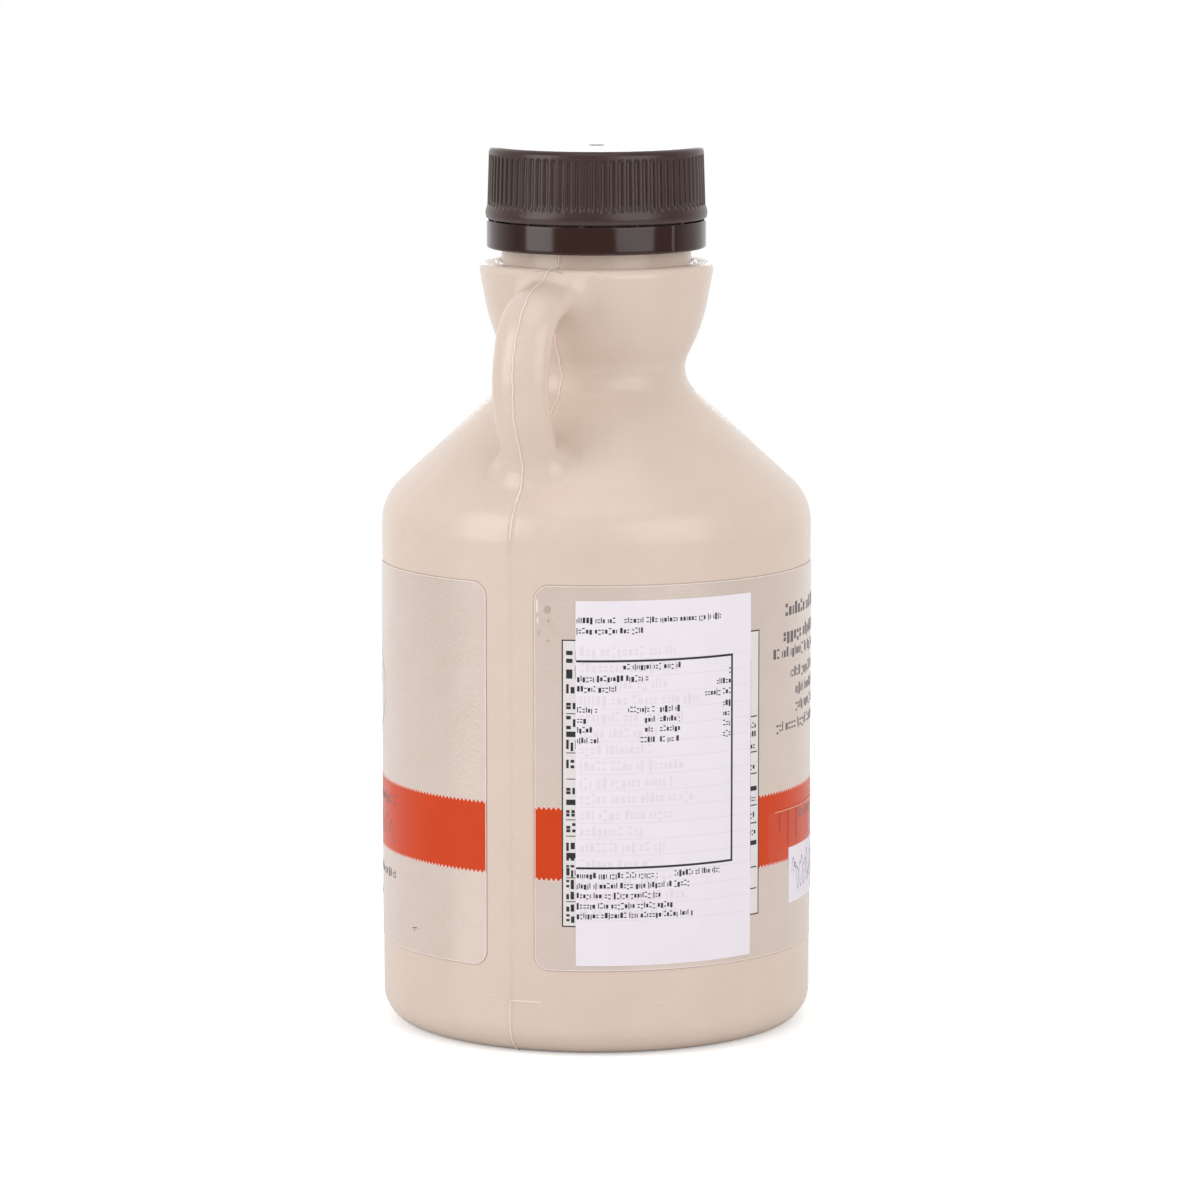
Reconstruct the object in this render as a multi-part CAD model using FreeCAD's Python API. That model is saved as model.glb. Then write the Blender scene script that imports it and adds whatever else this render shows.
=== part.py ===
import FreeCAD, Part

import math
import os

# A 500 ml maple syrup jug, standing upright with the middle of its base at the origin.
# The loop handle is towards +X, the front label faces -Y and the back label faces +Y.
# Lengths are in millimetres. Angles are in degrees about +Z, from the handle's +X towards +Y.

# Jug: the turned body, whose heights stack up from the base
BODY_RADIUS = 40.0
BASE_CORNER_FILLET = 5.7
BASE_DISH_RADIUS = 27.0
BASE_DISH_DEPTH = 1.8
BASE_DISH_FILLET = 1.2
SHOULDER_HEIGHT = 98.35
SHOULDER_FILLET = 10.25
SHOULDER_RISE = 22.96
WAIST_RADIUS = 15.11
WAIST_FILLET = 6.0
BOWL_RISE = 9.18
BOWL_RADIUS = 19.78
BOWL_FILLET = 32.65
COLLAR_RISE = 11.88
COLLAR_RADIUS = 21.98
COLLAR_EDGE_FILLET = 1.45
GROOVE_WIDTH = 0.9
GROOVE_DEPTH = 0.45
NECK_RADIUS = 17.6

# Jug: the loop handle, whose middle line is straight runs and round bends in the XZ plane
HANDLE_WIDTH = 10.8
HANDLE_DEPTH = 7.2
HANDLE_BELOW_COLLAR = 2.52
HANDLE_ELBOW_BELOW_COLLAR = 7.67
HANDLE_ELBOW_RADIUS = 10.35
HANDLE_ELBOW_INSET = 7.85
HANDLE_GRIP_INSET = 4.0
HANDLE_GRIP_RADIUS = 18.0
HANDLE_FOOT_INSET = 11.9
HANDLE_FOOT_ABOVE_SHOULDER = 4.65
HANDLE_ROOT_FILLET = 3.5

# Jug: the fine ridge that the mould leaves where its two halves meet, in the XZ plane
FLASH_HEIGHT = 0.15
FLASH_WIDTH = 0.4

# Screw cap, over the neck
CAP_CLEARANCE = 0.35
CAP_HEIGHT = 13.5
CAP_WALL = 2.3
CAP_TAPER = 0.35
CAP_RIM_HEIGHT = 1.3
CAP_RIM_FILLET = 1.0
CAP_TOP_WALL = 1.8
BEAD_STAND_OUT = 0.4
BEAD_HEIGHT = 2.5
BEAD_FILLET = 0.9
RIB_COUNT = 80
RIB_DEPTH = 0.45
RIB_CREST_SHARE = 0.4
RIB_FOOT_SHARE = 0.75

# Tamper band under the cap, held to it by small bridges across the slit
BAND_WALL = 2.4
BAND_HEIGHT = 5.0
BAND_EDGE_FILLET = 0.4
BAND_ABOVE_COLLAR = 2.67
SLIT_HEIGHT = 0.35
BRIDGE_COUNT = 12
BRIDGE_WIDTH = 0.8
BRIDGE_DEPTH = 0.7
BRIDGE_INSET = 0.25

# Labels, stickers and tape. A sticker is placed from its label's end beside the handle.
FILM_THICKNESS = 0.12
LABEL_BOTTOM = 16.2
LABEL_BELOW_SHOULDER = 11.35
LABEL_GAP = 9.55
LABEL_CORNER = 2.8
PAPER_THICKNESS = 0.12
INFO_STICKER_START = 7.63
INFO_STICKER_WIDTH = 34.8
INFO_STICKER_MARGIN_BELOW = 1.0
INFO_STICKER_MARGIN_ABOVE = 2.7
NOTE_STICKER_START = 54.83
NOTE_STICKER_WIDTH = 20.0
NOTE_STICKER_HEIGHT = 10.4
NOTE_STICKER_MARGIN_BELOW = 8.6
TAPE_THICKNESS = 0.08
TAPE_MARGIN = 7.25
TAPE_MARGIN_BELOW = 0.9
TAPE_MARGIN_ABOVE = 7.4

# Heights and radii that several pieces share
WAIST_HEIGHT = SHOULDER_HEIGHT + SHOULDER_RISE
BOWL_HEIGHT = WAIST_HEIGHT + BOWL_RISE
COLLAR_HEIGHT = BOWL_HEIGHT + COLLAR_RISE
GROOVE_FLOOR = COLLAR_HEIGHT - GROOVE_DEPTH
BAND_BOTTOM = COLLAR_HEIGHT + BAND_ABOVE_COLLAR
BAND_TOP = BAND_BOTTOM + BAND_HEIGHT
CAP_BOTTOM = BAND_TOP + SLIT_HEIGHT
CAP_TOP = CAP_BOTTOM + CAP_HEIGHT
NECK_TOP = CAP_TOP - CAP_TOP_WALL
BORE_RADIUS = NECK_RADIUS + CAP_CLEARANCE
LABEL_TOP = SHOULDER_HEIGHT - LABEL_BELOW_SHOULDER
FILM_RADIUS = BODY_RADIUS + FILM_THICKNESS
PAPER_RADIUS = FILM_RADIUS + PAPER_THICKNESS

Y_AXIS = FreeCAD.Vector(0, 1, 0)
Z_AXIS = FreeCAD.Vector(0, 0, 1)
ORIGIN = FreeCAD.Vector(0, 0, 0)
TOUCHING = 0.001


def xz(point):
    """A point of the XZ plane as a vector."""
    return FreeCAD.Vector(point[0], 0, point[1])


def rounded_path(corners):
    """Edges through (x, z, fillet) corners, each corner rounded by an arc of its fillet radius."""
    edges = []
    last = xz(corners[0])
    for before, corner, after in zip(corners, corners[1:], corners[2:]):
        middle = xz(corner)
        back = (xz(before) - middle).normalize()
        ahead = (xz(after) - middle).normalize()
        half = back.getAngle(ahead) / 2
        inward = (back + ahead).normalize()
        reach = corner[2] / math.tan(half)
        start = middle + back * reach
        end = middle + ahead * reach
        edges.append(Part.LineSegment(last, start).toShape())
        if corner[2] > 0:
            crown = middle + inward * (corner[2] / math.sin(half) - corner[2])
            edges.append(Part.Arc(start, crown, end).toShape())
        last = end
    edges.append(Part.LineSegment(last, xz(corners[-1])).toShape())
    return edges


def turned(corners):
    """A solid of revolution about Z from an outline that starts and ends on the axis."""
    edges = rounded_path(corners)
    edges.append(Part.LineSegment(xz(corners[-1]), xz(corners[0])).toShape())
    return Part.Face(Part.Wire(edges)).revolve(ORIGIN, Z_AXIS, 360)


def body_corners():
    """The outline from the middle of the base up to the bend in the bowl under the collar."""
    return [
        (0, BASE_DISH_DEPTH, 0),
        (BASE_DISH_RADIUS - BASE_DISH_DEPTH, BASE_DISH_DEPTH, BASE_DISH_FILLET),
        (BASE_DISH_RADIUS, 0, BASE_DISH_FILLET),
        (BODY_RADIUS, 0, BASE_CORNER_FILLET),
        (BODY_RADIUS, SHOULDER_HEIGHT, SHOULDER_FILLET),
        (WAIST_RADIUS, WAIST_HEIGHT, WAIST_FILLET),
        (BOWL_RADIUS, BOWL_HEIGHT, BOWL_FILLET),
    ]


def jug_body():
    """The body below the neck, its bowl carried on above the collar by the handle's depth."""
    slope = (COLLAR_RADIUS - BOWL_RADIUS) / COLLAR_RISE
    top = COLLAR_HEIGHT + HANDLE_DEPTH
    return turned(body_corners() + [(COLLAR_RADIUS + slope * HANDLE_DEPTH, top, 0), (0, top, 0)])


def handle_loop(depth):
    """An oval bar carried along the middle line, from inside the neck to inside the shoulder."""
    start = FreeCAD.Vector(NECK_RADIUS - HANDLE_DEPTH / 2, 0, COLLAR_HEIGHT - HANDLE_BELOW_COLLAR)
    elbow = FreeCAD.Vector(BODY_RADIUS - HANDLE_ELBOW_INSET, 0, COLLAR_HEIGHT - HANDLE_ELBOW_BELOW_COLLAR)
    path = Part.Wire(rounded_path([
        (start.x, start.z, 0),
        (elbow.x, elbow.z, HANDLE_ELBOW_RADIUS),
        (BODY_RADIUS - HANDLE_GRIP_INSET, WAIST_HEIGHT, HANDLE_GRIP_RADIUS),
        (BODY_RADIUS - HANDLE_FOOT_INSET, SHOULDER_HEIGHT + HANDLE_FOOT_ABOVE_SHOULDER, 0),
    ]))
    section = Part.Wire(Part.Ellipse(ORIGIN, HANDLE_WIDTH / 2, depth / 2).toShape())
    section.Placement = FreeCAD.Placement(start, FreeCAD.Rotation(Y_AXIS, Z_AXIS, elbow - start, "ZXY"))
    return path.makePipeShell([section], True, False)


def meeting_edges(whole, first, second):
    """The edges of the fused whole that lie on the skins of both solids it was made from."""
    found = []
    for edge in whole.Edges:
        middle = Part.Vertex(edge.valueAt((edge.FirstParameter + edge.LastParameter) / 2))
        gaps = [min(face.distToShape(middle)[0] for face in solid.Faces) for solid in (first, second)]
        if max(gaps) < TOUCHING:
            found.append(edge)
    return found


def level_edges(solid, height):
    """The edges that lie flat at this height."""
    return [
        edge for edge in solid.Edges
        if abs(edge.BoundBox.ZMin - height) < TOUCHING and abs(edge.BoundBox.ZMax - height) < TOUCHING
    ]


def grown(corners, growth):
    """The outline moved outwards, to the right of its run, its round corners kept parallel."""
    points = [FreeCAD.Vector(x, z, 0) for x, z, _ in corners]
    runs = [(end - start).normalize() for start, end in zip(points, points[1:])]
    sides = [FreeCAD.Vector(run.y, -run.x, 0) for run in runs]
    moved = [(0, points[0].y + growth * sides[0].y, 0)]
    for corner, point, before, after, run in zip(corners[1:], points[1:], sides, sides[1:], runs):
        turns_left = run.x * -after.x - run.y * after.y < 0
        mitre = (before + after) * (growth / (1 + before.dot(after)))
        fillet = corner[2] + growth if turns_left else max(corner[2] - growth, 0)
        moved.append((point.x + mitre.x, point.y + mitre.y, fillet if corner[2] else 0))
    moved.append((0, points[-1].y + growth * sides[-1].y, 0))
    return moved


def parting_ridge():
    """A thin plate in the parting plane, a little larger than the body, the neck and the handle."""
    outline = body_corners() + [
        (COLLAR_RADIUS, COLLAR_HEIGHT, COLLAR_EDGE_FILLET),
        (NECK_RADIUS + GROOVE_WIDTH, COLLAR_HEIGHT, 0),
        (NECK_RADIUS + GROOVE_WIDTH, GROOVE_FLOOR, 0),
        (NECK_RADIUS, GROOVE_FLOOR, 0),
        (NECK_RADIUS, NECK_TOP, 0),
        (0, NECK_TOP, 0),
    ]
    reach = 2 * BODY_RADIUS
    plane = Part.makeBox(2 * reach, FLASH_WIDTH, NECK_TOP, FreeCAD.Vector(-reach, -FLASH_WIDTH / 2, 0))
    body = turned(grown(outline, FLASH_HEIGHT)).common(plane)
    return body.fuse(handle_loop(HANDLE_DEPTH + 2 * FLASH_HEIGHT).common(plane))


def jug():
    """Body and handle with blended roots, cut level at the collar, with the neck standing on it."""
    body = jug_body()
    loop = handle_loop(HANDLE_DEPTH)
    whole = body.fuse(loop)
    whole = whole.makeFillet(HANDLE_ROOT_FILLET, meeting_edges(whole, body, loop))
    whole = whole.common(Part.makeCylinder(2 * BODY_RADIUS, COLLAR_HEIGHT))
    whole = whole.makeFillet(COLLAR_EDGE_FILLET, level_edges(whole, COLLAR_HEIGHT))
    floor = FreeCAD.Vector(0, 0, GROOVE_FLOOR)
    groove = Part.makeCylinder(NECK_RADIUS + GROOVE_WIDTH, GROOVE_DEPTH, floor)
    neck = Part.makeCylinder(NECK_RADIUS, NECK_TOP - GROOVE_FLOOR, floor)
    return whole.cut(groove).fuse(neck).fuse(parting_ridge())


def rib_outline(crest_radius, height):
    """A closed outline of RIB_COUNT trapezoid ribs standing out of a circle."""
    pitch = 2 * math.pi / RIB_COUNT
    root_radius = crest_radius - RIB_DEPTH
    points = []
    for rib in range(RIB_COUNT):
        for share, radius in (
            (-RIB_FOOT_SHARE / 2, root_radius),
            (-RIB_CREST_SHARE / 2, crest_radius),
            (RIB_CREST_SHARE / 2, crest_radius),
            (RIB_FOOT_SHARE / 2, root_radius),
        ):
            angle = (rib + share) * pitch
            points.append(FreeCAD.Vector(radius * math.cos(angle), radius * math.sin(angle), height))
    points.append(points[0])
    return Part.makePolygon(points)


def cap():
    """A turned cup over the neck, with ribs between the bead at its foot and its smooth rim."""
    skirt_radius = BORE_RADIUS + CAP_WALL
    rim_radius = skirt_radius - CAP_TAPER
    bead_radius = skirt_radius + BEAD_STAND_OUT
    ribs_bottom = CAP_BOTTOM + BEAD_HEIGHT
    ribs_top = CAP_TOP - CAP_RIM_HEIGHT
    cup = turned([
        (0, CAP_BOTTOM, 0),
        (bead_radius, CAP_BOTTOM, BEAD_FILLET),
        (bead_radius, ribs_bottom, BEAD_FILLET),
        (skirt_radius - RIB_DEPTH, ribs_bottom, 0),
        (rim_radius - RIB_DEPTH, ribs_top, 0),
        (rim_radius, ribs_top, 0),
        (rim_radius, CAP_TOP, CAP_RIM_FILLET),
        (0, CAP_TOP, 0),
    ])
    outlines = [rib_outline(skirt_radius, ribs_bottom), rib_outline(rim_radius, ribs_top)]
    ribs = Part.makeLoft(outlines, True, True)
    bore = Part.makeCylinder(BORE_RADIUS, NECK_TOP - CAP_BOTTOM, FreeCAD.Vector(0, 0, CAP_BOTTOM))
    return cup.fuse(ribs).cut(bore)


def tamper_band():
    """A ring with small bridges on top, which stand against the underside of the cap."""
    radius = BORE_RADIUS + BAND_WALL
    ring = turned([
        (0, BAND_BOTTOM, 0),
        (radius, BAND_BOTTOM, BAND_EDGE_FILLET),
        (radius, BAND_TOP, 0),
        (0, BAND_TOP, 0),
    ])
    ring = ring.cut(Part.makeCylinder(BORE_RADIUS, BAND_HEIGHT, FreeCAD.Vector(0, 0, BAND_BOTTOM)))
    corner = FreeCAD.Vector(radius - BRIDGE_INSET - BRIDGE_DEPTH, -BRIDGE_WIDTH / 2, BAND_TOP)
    bridge = Part.makeBox(BRIDGE_DEPTH, BRIDGE_WIDTH, SLIT_HEIGHT, corner)
    bridges = []
    for number in range(BRIDGE_COUNT):
        copy = bridge.copy()
        copy.rotate(ORIGIN, Z_AXIS, 360 * (number + 0.5) / BRIDGE_COUNT)
        bridges.append(copy)
    return ring.fuse(bridges)


def wrapped(radius, thickness, bottom, top, start, width, corner=0):
    """A skin round the body. Its start and width are arcs of the body, from the handle's plane."""
    outline = Part.makePolygon([
        FreeCAD.Vector(radius, 0, bottom),
        FreeCAD.Vector(radius + thickness, 0, bottom),
        FreeCAD.Vector(radius + thickness, 0, top),
        FreeCAD.Vector(radius, 0, top),
        FreeCAD.Vector(radius, 0, bottom),
    ])
    skin = Part.Face(outline).revolve(ORIGIN, Z_AXIS, math.degrees(width / BODY_RADIUS))
    if corner:
        radial = [edge for edge in skin.Edges if abs(edge.Length - thickness) < TOUCHING]
        skin = skin.makeFillet(corner, radial)
    skin.rotate(ORIGIN, Z_AXIS, math.degrees(start / BODY_RADIUS))
    return skin


def back_label():
    width = math.pi * BODY_RADIUS - LABEL_GAP
    return wrapped(BODY_RADIUS, FILM_THICKNESS, LABEL_BOTTOM, LABEL_TOP, LABEL_GAP / 2, width, LABEL_CORNER)


def front_label():
    """The same label on the other side of the jug."""
    skin = back_label()
    skin.rotate(ORIGIN, Z_AXIS, 180)
    return skin


def info_sticker():
    bottom = LABEL_BOTTOM + INFO_STICKER_MARGIN_BELOW
    top = LABEL_TOP - INFO_STICKER_MARGIN_ABOVE
    start = LABEL_GAP / 2 + INFO_STICKER_START
    return wrapped(FILM_RADIUS, PAPER_THICKNESS, bottom, top, start, INFO_STICKER_WIDTH)


def note_sticker():
    bottom = LABEL_BOTTOM + NOTE_STICKER_MARGIN_BELOW
    top = bottom + NOTE_STICKER_HEIGHT
    start = LABEL_GAP / 2 + NOTE_STICKER_START
    return wrapped(FILM_RADIUS, PAPER_THICKNESS, bottom, top, start, NOTE_STICKER_WIDTH)


def clear_tape():
    """Tape that reaches past the small sticker on all sides."""
    note_bottom = LABEL_BOTTOM + NOTE_STICKER_MARGIN_BELOW
    bottom = note_bottom - TAPE_MARGIN_BELOW
    top = note_bottom + NOTE_STICKER_HEIGHT + TAPE_MARGIN_ABOVE
    start = LABEL_GAP / 2 + NOTE_STICKER_START - TAPE_MARGIN
    width = NOTE_STICKER_WIDTH + 2 * TAPE_MARGIN
    return wrapped(PAPER_RADIUS, TAPE_THICKNESS, bottom, top, start, width)


def main():
    os.makedirs("parts", exist_ok=True)
    pieces = [jug, cap, tamper_band, front_label, back_label, info_sticker, note_sticker, clear_tape]
    for piece in pieces:
        shape = piece()
        shape.exportStep(f"parts/{piece.__name__}.step")
        print(piece.__name__, shape.isValid(), round(shape.Volume, 1))


main()
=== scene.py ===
"""A 500 ml maple syrup jug with its cap, tamper band, labels, stickers and tape, in a white studio."""
import math

import bmesh
import bpy
import numpy as np
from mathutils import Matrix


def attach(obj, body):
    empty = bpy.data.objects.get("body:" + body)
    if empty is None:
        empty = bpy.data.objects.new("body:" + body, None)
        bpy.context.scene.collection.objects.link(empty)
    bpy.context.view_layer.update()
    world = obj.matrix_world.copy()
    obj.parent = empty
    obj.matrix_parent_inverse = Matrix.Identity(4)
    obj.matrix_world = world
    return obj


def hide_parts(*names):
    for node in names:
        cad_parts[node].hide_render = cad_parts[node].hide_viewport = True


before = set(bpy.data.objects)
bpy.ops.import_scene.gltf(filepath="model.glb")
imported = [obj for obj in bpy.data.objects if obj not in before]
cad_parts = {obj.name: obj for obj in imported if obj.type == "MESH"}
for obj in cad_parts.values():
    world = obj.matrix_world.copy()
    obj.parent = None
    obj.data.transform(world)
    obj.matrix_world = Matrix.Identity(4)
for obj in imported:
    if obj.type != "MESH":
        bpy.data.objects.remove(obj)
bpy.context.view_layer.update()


# ---- Jug: body -----------------------------------------------------------
# One blow-moulded piece of satin beige plastic. Its body is turned about Z, and the two mould halves
# leave a fine ridge in the XZ plane. Lengths are in millimetres until a mesh is made.

MM = 0.001
BODY_RADIUS = 40.0
COLLAR_HEIGHT = 142.37
NECK_RADIUS = 17.6
NECK_TOP = 162.09
COLLAR_RADIUS = 21.98
COLLAR_EDGE = 1.45
RIDGE_HALF_WIDTH = 0.16
RIDGE_HEIGHT = 0.27
RIDGE_STEPS = np.array([-1, -0.75, -0.5, 0, 0.5, 0.75, 1])
BASE_LINE = 10.12
GROOVE_DEPTH = 0.045
FIN_LENGTH = 7.0
FIN_HEIGHT = 0.16


def rounded_line(corners, step):
    """Points along straight runs through (x, z, radius) corners, with each corner rounded.

    An arc of radius r in a corner whose runs open by the angle a starts and ends r / tan(a / 2) from the
    corner, and its centre lies r / sin(a / 2) from it on the line that halves the angle.
    """
    spots = [np.array(corner[:2], float) for corner in corners]
    points = [spots[0]]
    for index, (spot, corner) in enumerate(zip(spots, corners)):
        arc = [spot]
        if corner[2] > 0:
            back = spots[index - 1] - spot
            ahead = spots[index + 1] - spot
            back /= np.linalg.norm(back)
            ahead /= np.linalg.norm(ahead)
            half = 0.5 * math.acos(back @ ahead)
            middle = (back + ahead) / np.linalg.norm(back + ahead)
            centre = spot + middle * corner[2] / math.sin(half)
            first = spot + back * corner[2] / math.tan(half) - centre
            last = spot + ahead * corner[2] / math.tan(half) - centre
            turn = math.atan2(first[0] * last[1] - first[1] * last[0], first @ last)
            count = max(4, math.ceil(abs(turn) * corner[2] / step))
            angles = math.atan2(first[1], first[0]) + turn * np.linspace(0, 1, count + 1)
            arc = list(centre + corner[2] * np.column_stack([np.cos(angles), np.sin(angles)]))
        run = arc[0] - points[-1]
        count = max(1, math.ceil(np.linalg.norm(run) / (3 * step)))
        points += [points[-1] + run * share for share in np.arange(1, count) / count]
        points += arc
    line = np.array(points)
    apart = np.linalg.norm(np.diff(line, axis=0), axis=1) > 1e-6
    return line[np.concatenate([[True], apart])]


def add_mesh(name, points, faces):
    """A smooth piece from points in millimetres, with points that coincide joined and faces outward."""
    mesh = bpy.data.meshes.new(name)
    mesh.from_pydata((np.asarray(points) * MM).tolist(), [], [list(map(int, face)) for face in faces])
    shell = bmesh.new()
    shell.from_mesh(mesh)
    bmesh.ops.remove_doubles(shell, verts=shell.verts, dist=1e-7)
    bmesh.ops.recalc_face_normals(shell, faces=shell.faces)
    shell.to_mesh(mesh)
    shell.free()
    mesh.polygons.foreach_set("use_smooth", np.ones(len(mesh.polygons), bool))
    piece = bpy.data.objects.new(name, mesh)
    bpy.context.scene.collection.objects.link(piece)
    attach(piece, "root")
    return piece


def grid_faces(rows, columns, wrap, first=0):
    """Quads between neighbouring rows and columns of a grid of points, counted from first."""
    across = columns if wrap else columns - 1
    row, column = np.meshgrid(np.arange(rows - 1), np.arange(across), indexing="ij")
    beside = (column + 1) % columns
    corners = [row * columns + column, row * columns + beside,
               (row + 1) * columns + beside, (row + 1) * columns + column]
    return first + np.stack(corners, axis=-1).reshape(-1, 4)


def body_corners():
    """The body's outline from the middle of its base to the bend in the bowl under the collar."""
    return [(0, 1.8, 0), (25.2, 1.8, 1.2), (27, 0, 1.2), (BODY_RADIUS, 0, 5.7), (BODY_RADIUS, 98.35, 10.25),
            (15.11, 121.31, 6), (19.78, 130.49, 32.65)]


def ridge_fade(height):
    """How strongly the mould's ridge stands out: clear by the base, on the shoulder and above it."""
    low = np.clip((13 - height) / 6, 0, 1)
    high = np.clip((height - 92) / 8, 0, 1)
    wave = 0.85 + 0.15 * np.sin(height * 0.9) * np.sin(height * 0.37 + 1)
    return np.clip(0.2 + low + high, 0, 1) * wave


def ridge_drift(height):
    """How far the ridge wanders to one side of the XZ plane at a height: hardly at all by the base."""
    wander = 0.09 * np.sin(height * 0.53) + 0.06 * np.sin(height * 1.7 + 1) + 0.03 * np.sin(height * 3.9)
    return wander * np.clip(height / 60, 0.1, 1)


def base_line(height, angle):
    """How far the body stands out where the mould's base met its halves, at a height and an angle.

    It is a bell curve of the height: a shallow groove all round, but for a fin on the first few
    millimetres beside the ridge.
    """
    arc = np.mod(angle + 0.01, 2 * math.pi) * BODY_RADIUS
    fin = np.clip((FIN_LENGTH - arc) / 1.5, 0, 1)
    bell = np.exp(-((height - BASE_LINE) / 0.08) ** 2)
    return bell * (FIN_HEIGHT * fin - GROOVE_DEPTH * (1 - fin))


def jug_body():
    """The turned outline on a grid of heights and angles, raised where the mould halves meet.

    The angles are even, with a few more beside the XZ plane at 0, a half and all of the ridge's half
    width. Across the ridge its height follows a circle's arc. The base line is added to it.
    """
    corners = body_corners()
    corners[4:4] = [(BODY_RADIUS, BASE_LINE + step, 0) for step in np.linspace(-0.24, 0.24, 9)]
    line = rounded_line(corners + [
        (COLLAR_RADIUS, COLLAR_HEIGHT, COLLAR_EDGE), (NECK_RADIUS + 1.2, COLLAR_HEIGHT, 0.3),
        (NECK_RADIUS + 0.9, COLLAR_HEIGHT - 0.3, 0.2), (NECK_RADIUS, COLLAR_HEIGHT - 0.3, 0.4),
        (NECK_RADIUS, NECK_TOP, 0), (0, NECK_TOP, 0)], 0.6)
    radius, height = line[:, :1], line[:, 1:]
    slope = np.gradient(line, axis=0)
    slope /= np.linalg.norm(slope, axis=1, keepdims=True)
    near = (RIDGE_STEPS[None, :] * RIDGE_HALF_WIDTH + ridge_drift(height)) / np.maximum(radius, 12)
    even = np.arange(1, 128) * math.pi / 128
    evens = np.repeat(even[None, :], len(line), axis=0)
    angle = np.concatenate([near, evens, near + math.pi, evens + math.pi], axis=1)
    bump = np.sqrt(1 - RIDGE_STEPS ** 2)
    flat = np.zeros(len(even))
    raised = np.concatenate([bump, flat, bump, flat])[None, :] * RIDGE_HEIGHT * ridge_fade(height)
    raised = raised * (radius > 5) * (height > 0.2) * (height < NECK_TOP - 0.5) + base_line(height, angle)
    out = radius + raised * slope[:, 1:]
    up = height - raised * slope[:, :1]
    points = np.stack([out * np.cos(angle), out * np.sin(angle), up + 0 * angle], axis=-1)
    return points.reshape(-1, 3), grid_faces(len(line), angle.shape[1], True)


# ---- Jug: handle ---------------------------------------------------------
# A loop of oval bar from the collar to the shoulder. Its roots grow out of the body as a ball of the
# root's radius would roll along the corner, and the top root is cut level with the collar.

HANDLE_HALF_WIDTH = 5.4
HANDLE_HALF_DEPTH = 3.6
ROOT_RADIUS = 3.5
ROOT_REACH = 7.5
TOP_REACH_CUT = 3
SINK = 0.25


def nearest_on_line(points, line):
    """For each point of a plane, its signed distance to the nearest run of a line, and that run.

    The distance is positive on the right-hand side of the line's direction.
    """
    start, run = line[:-1], np.diff(line, axis=0)
    offset = points[:, None, :] - start[None]
    share = np.clip((offset * run).sum(-1) / (run ** 2).sum(-1), 0, 1)
    away = offset - share[..., None] * run
    nearest = np.argmin((away ** 2).sum(-1), axis=1)
    rows = np.arange(len(points))
    away, run = away[rows, nearest], run[nearest]
    side = run[:, 1] * away[:, 0] - run[:, 0] * away[:, 1]
    side = np.where(side == 0, 1, np.sign(side))
    return side * np.linalg.norm(away, axis=1), nearest


BODY_LINE = rounded_line(body_corners() + [(23.34, COLLAR_HEIGHT + 7.2, 0)], 0.5)
BODY_LINE = BODY_LINE[BODY_LINE[:, 1] > 70]
HANDLE_LINE = rounded_line([(14, 139.85, 0), (32.15, 134.7, 10.35), (36, 121.31, 18), (28.1, 103, 0)], 0.3)


def from_body(points):
    """Signed distance to the turned body, whose bowl is carried on above the collar."""
    flat = np.column_stack([np.hypot(points[:, 0], points[:, 1]), points[:, 2]])
    return nearest_on_line(flat, BODY_LINE)[0]


def from_handle(points):
    """Signed distance to the oval bar, from the usual estimate for an ellipse.

    With u and v across the bar, and a and b half its depth and width, it is k (k - 1) / m, where k is
    the length of (u / a, v / b) and m is that of (u / a^2, v / b^2).
    """
    across = nearest_on_line(points[:, [0, 2]], HANDLE_LINE)[0]
    level = np.hypot(across / HANDLE_HALF_DEPTH, points[:, 1] / HANDLE_HALF_WIDTH)
    steep = np.hypot(across / HANDLE_HALF_DEPTH ** 2, points[:, 1] / HANDLE_HALF_WIDTH ** 2)
    return level * (level - 1) / np.maximum(steep, 1e-6)


def from_jug(points):
    """Signed distance to body and bar together, rounded in the corner between them and cut level.

    A corner of radius r between distances p and q that join is max(r, min(p, q)) less the length of
    (r - p, r - q), each at least 0. An edge where they cut each other is the same, turned inside out.
    """
    body, bar = from_body(points), from_handle(points)
    joined = np.maximum(ROOT_RADIUS, np.minimum(body, bar))
    joined -= np.hypot(np.maximum(ROOT_RADIUS - body, 0), np.maximum(ROOT_RADIUS - bar, 0))
    above = points[:, 2] - COLLAR_HEIGHT
    cut = np.minimum(-COLLAR_EDGE, np.maximum(joined, above))
    return cut + np.hypot(np.maximum(COLLAR_EDGE + joined, 0), np.maximum(COLLAR_EDGE + above, 0))


def slope_of(distance, points):
    """The direction in which a distance grows fastest, from small steps along each axis."""
    step = 0.004
    slope = np.empty_like(points)
    for axis in range(3):
        shift = np.zeros(3)
        shift[axis] = step
        slope[:, axis] = (distance(points + shift) - distance(points - shift)) / (2 * step)
    return slope


def settle(points, rounds):
    """Points moved onto the jug's surface along the slope of the distance to it."""
    for _ in range(rounds):
        slope = slope_of(from_jug, points)
        size = np.maximum((slope ** 2).sum(-1, keepdims=True), 0.2)
        points = points - np.clip(from_jug(points)[:, None] / size, -1.5, 1.5) * slope
    return points


def under_body(points):
    """How far a point of the jug's surface sinks so that the root's skin dives under the body's own.

    With s the way past the line where the root's curve leaves the body, or the collar's top, it is the
    full sink times the cube of s / 1.5, up to 1.
    """
    past_bar = from_handle(points) - ROOT_RADIUS
    past_edge = np.where(points[:, 2] > COLLAR_HEIGHT - 0.01, -from_body(points) - COLLAR_EDGE, 0)
    return SINK * np.clip(np.maximum(past_bar, past_edge) / 1.5, 0, 1) ** 3


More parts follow.
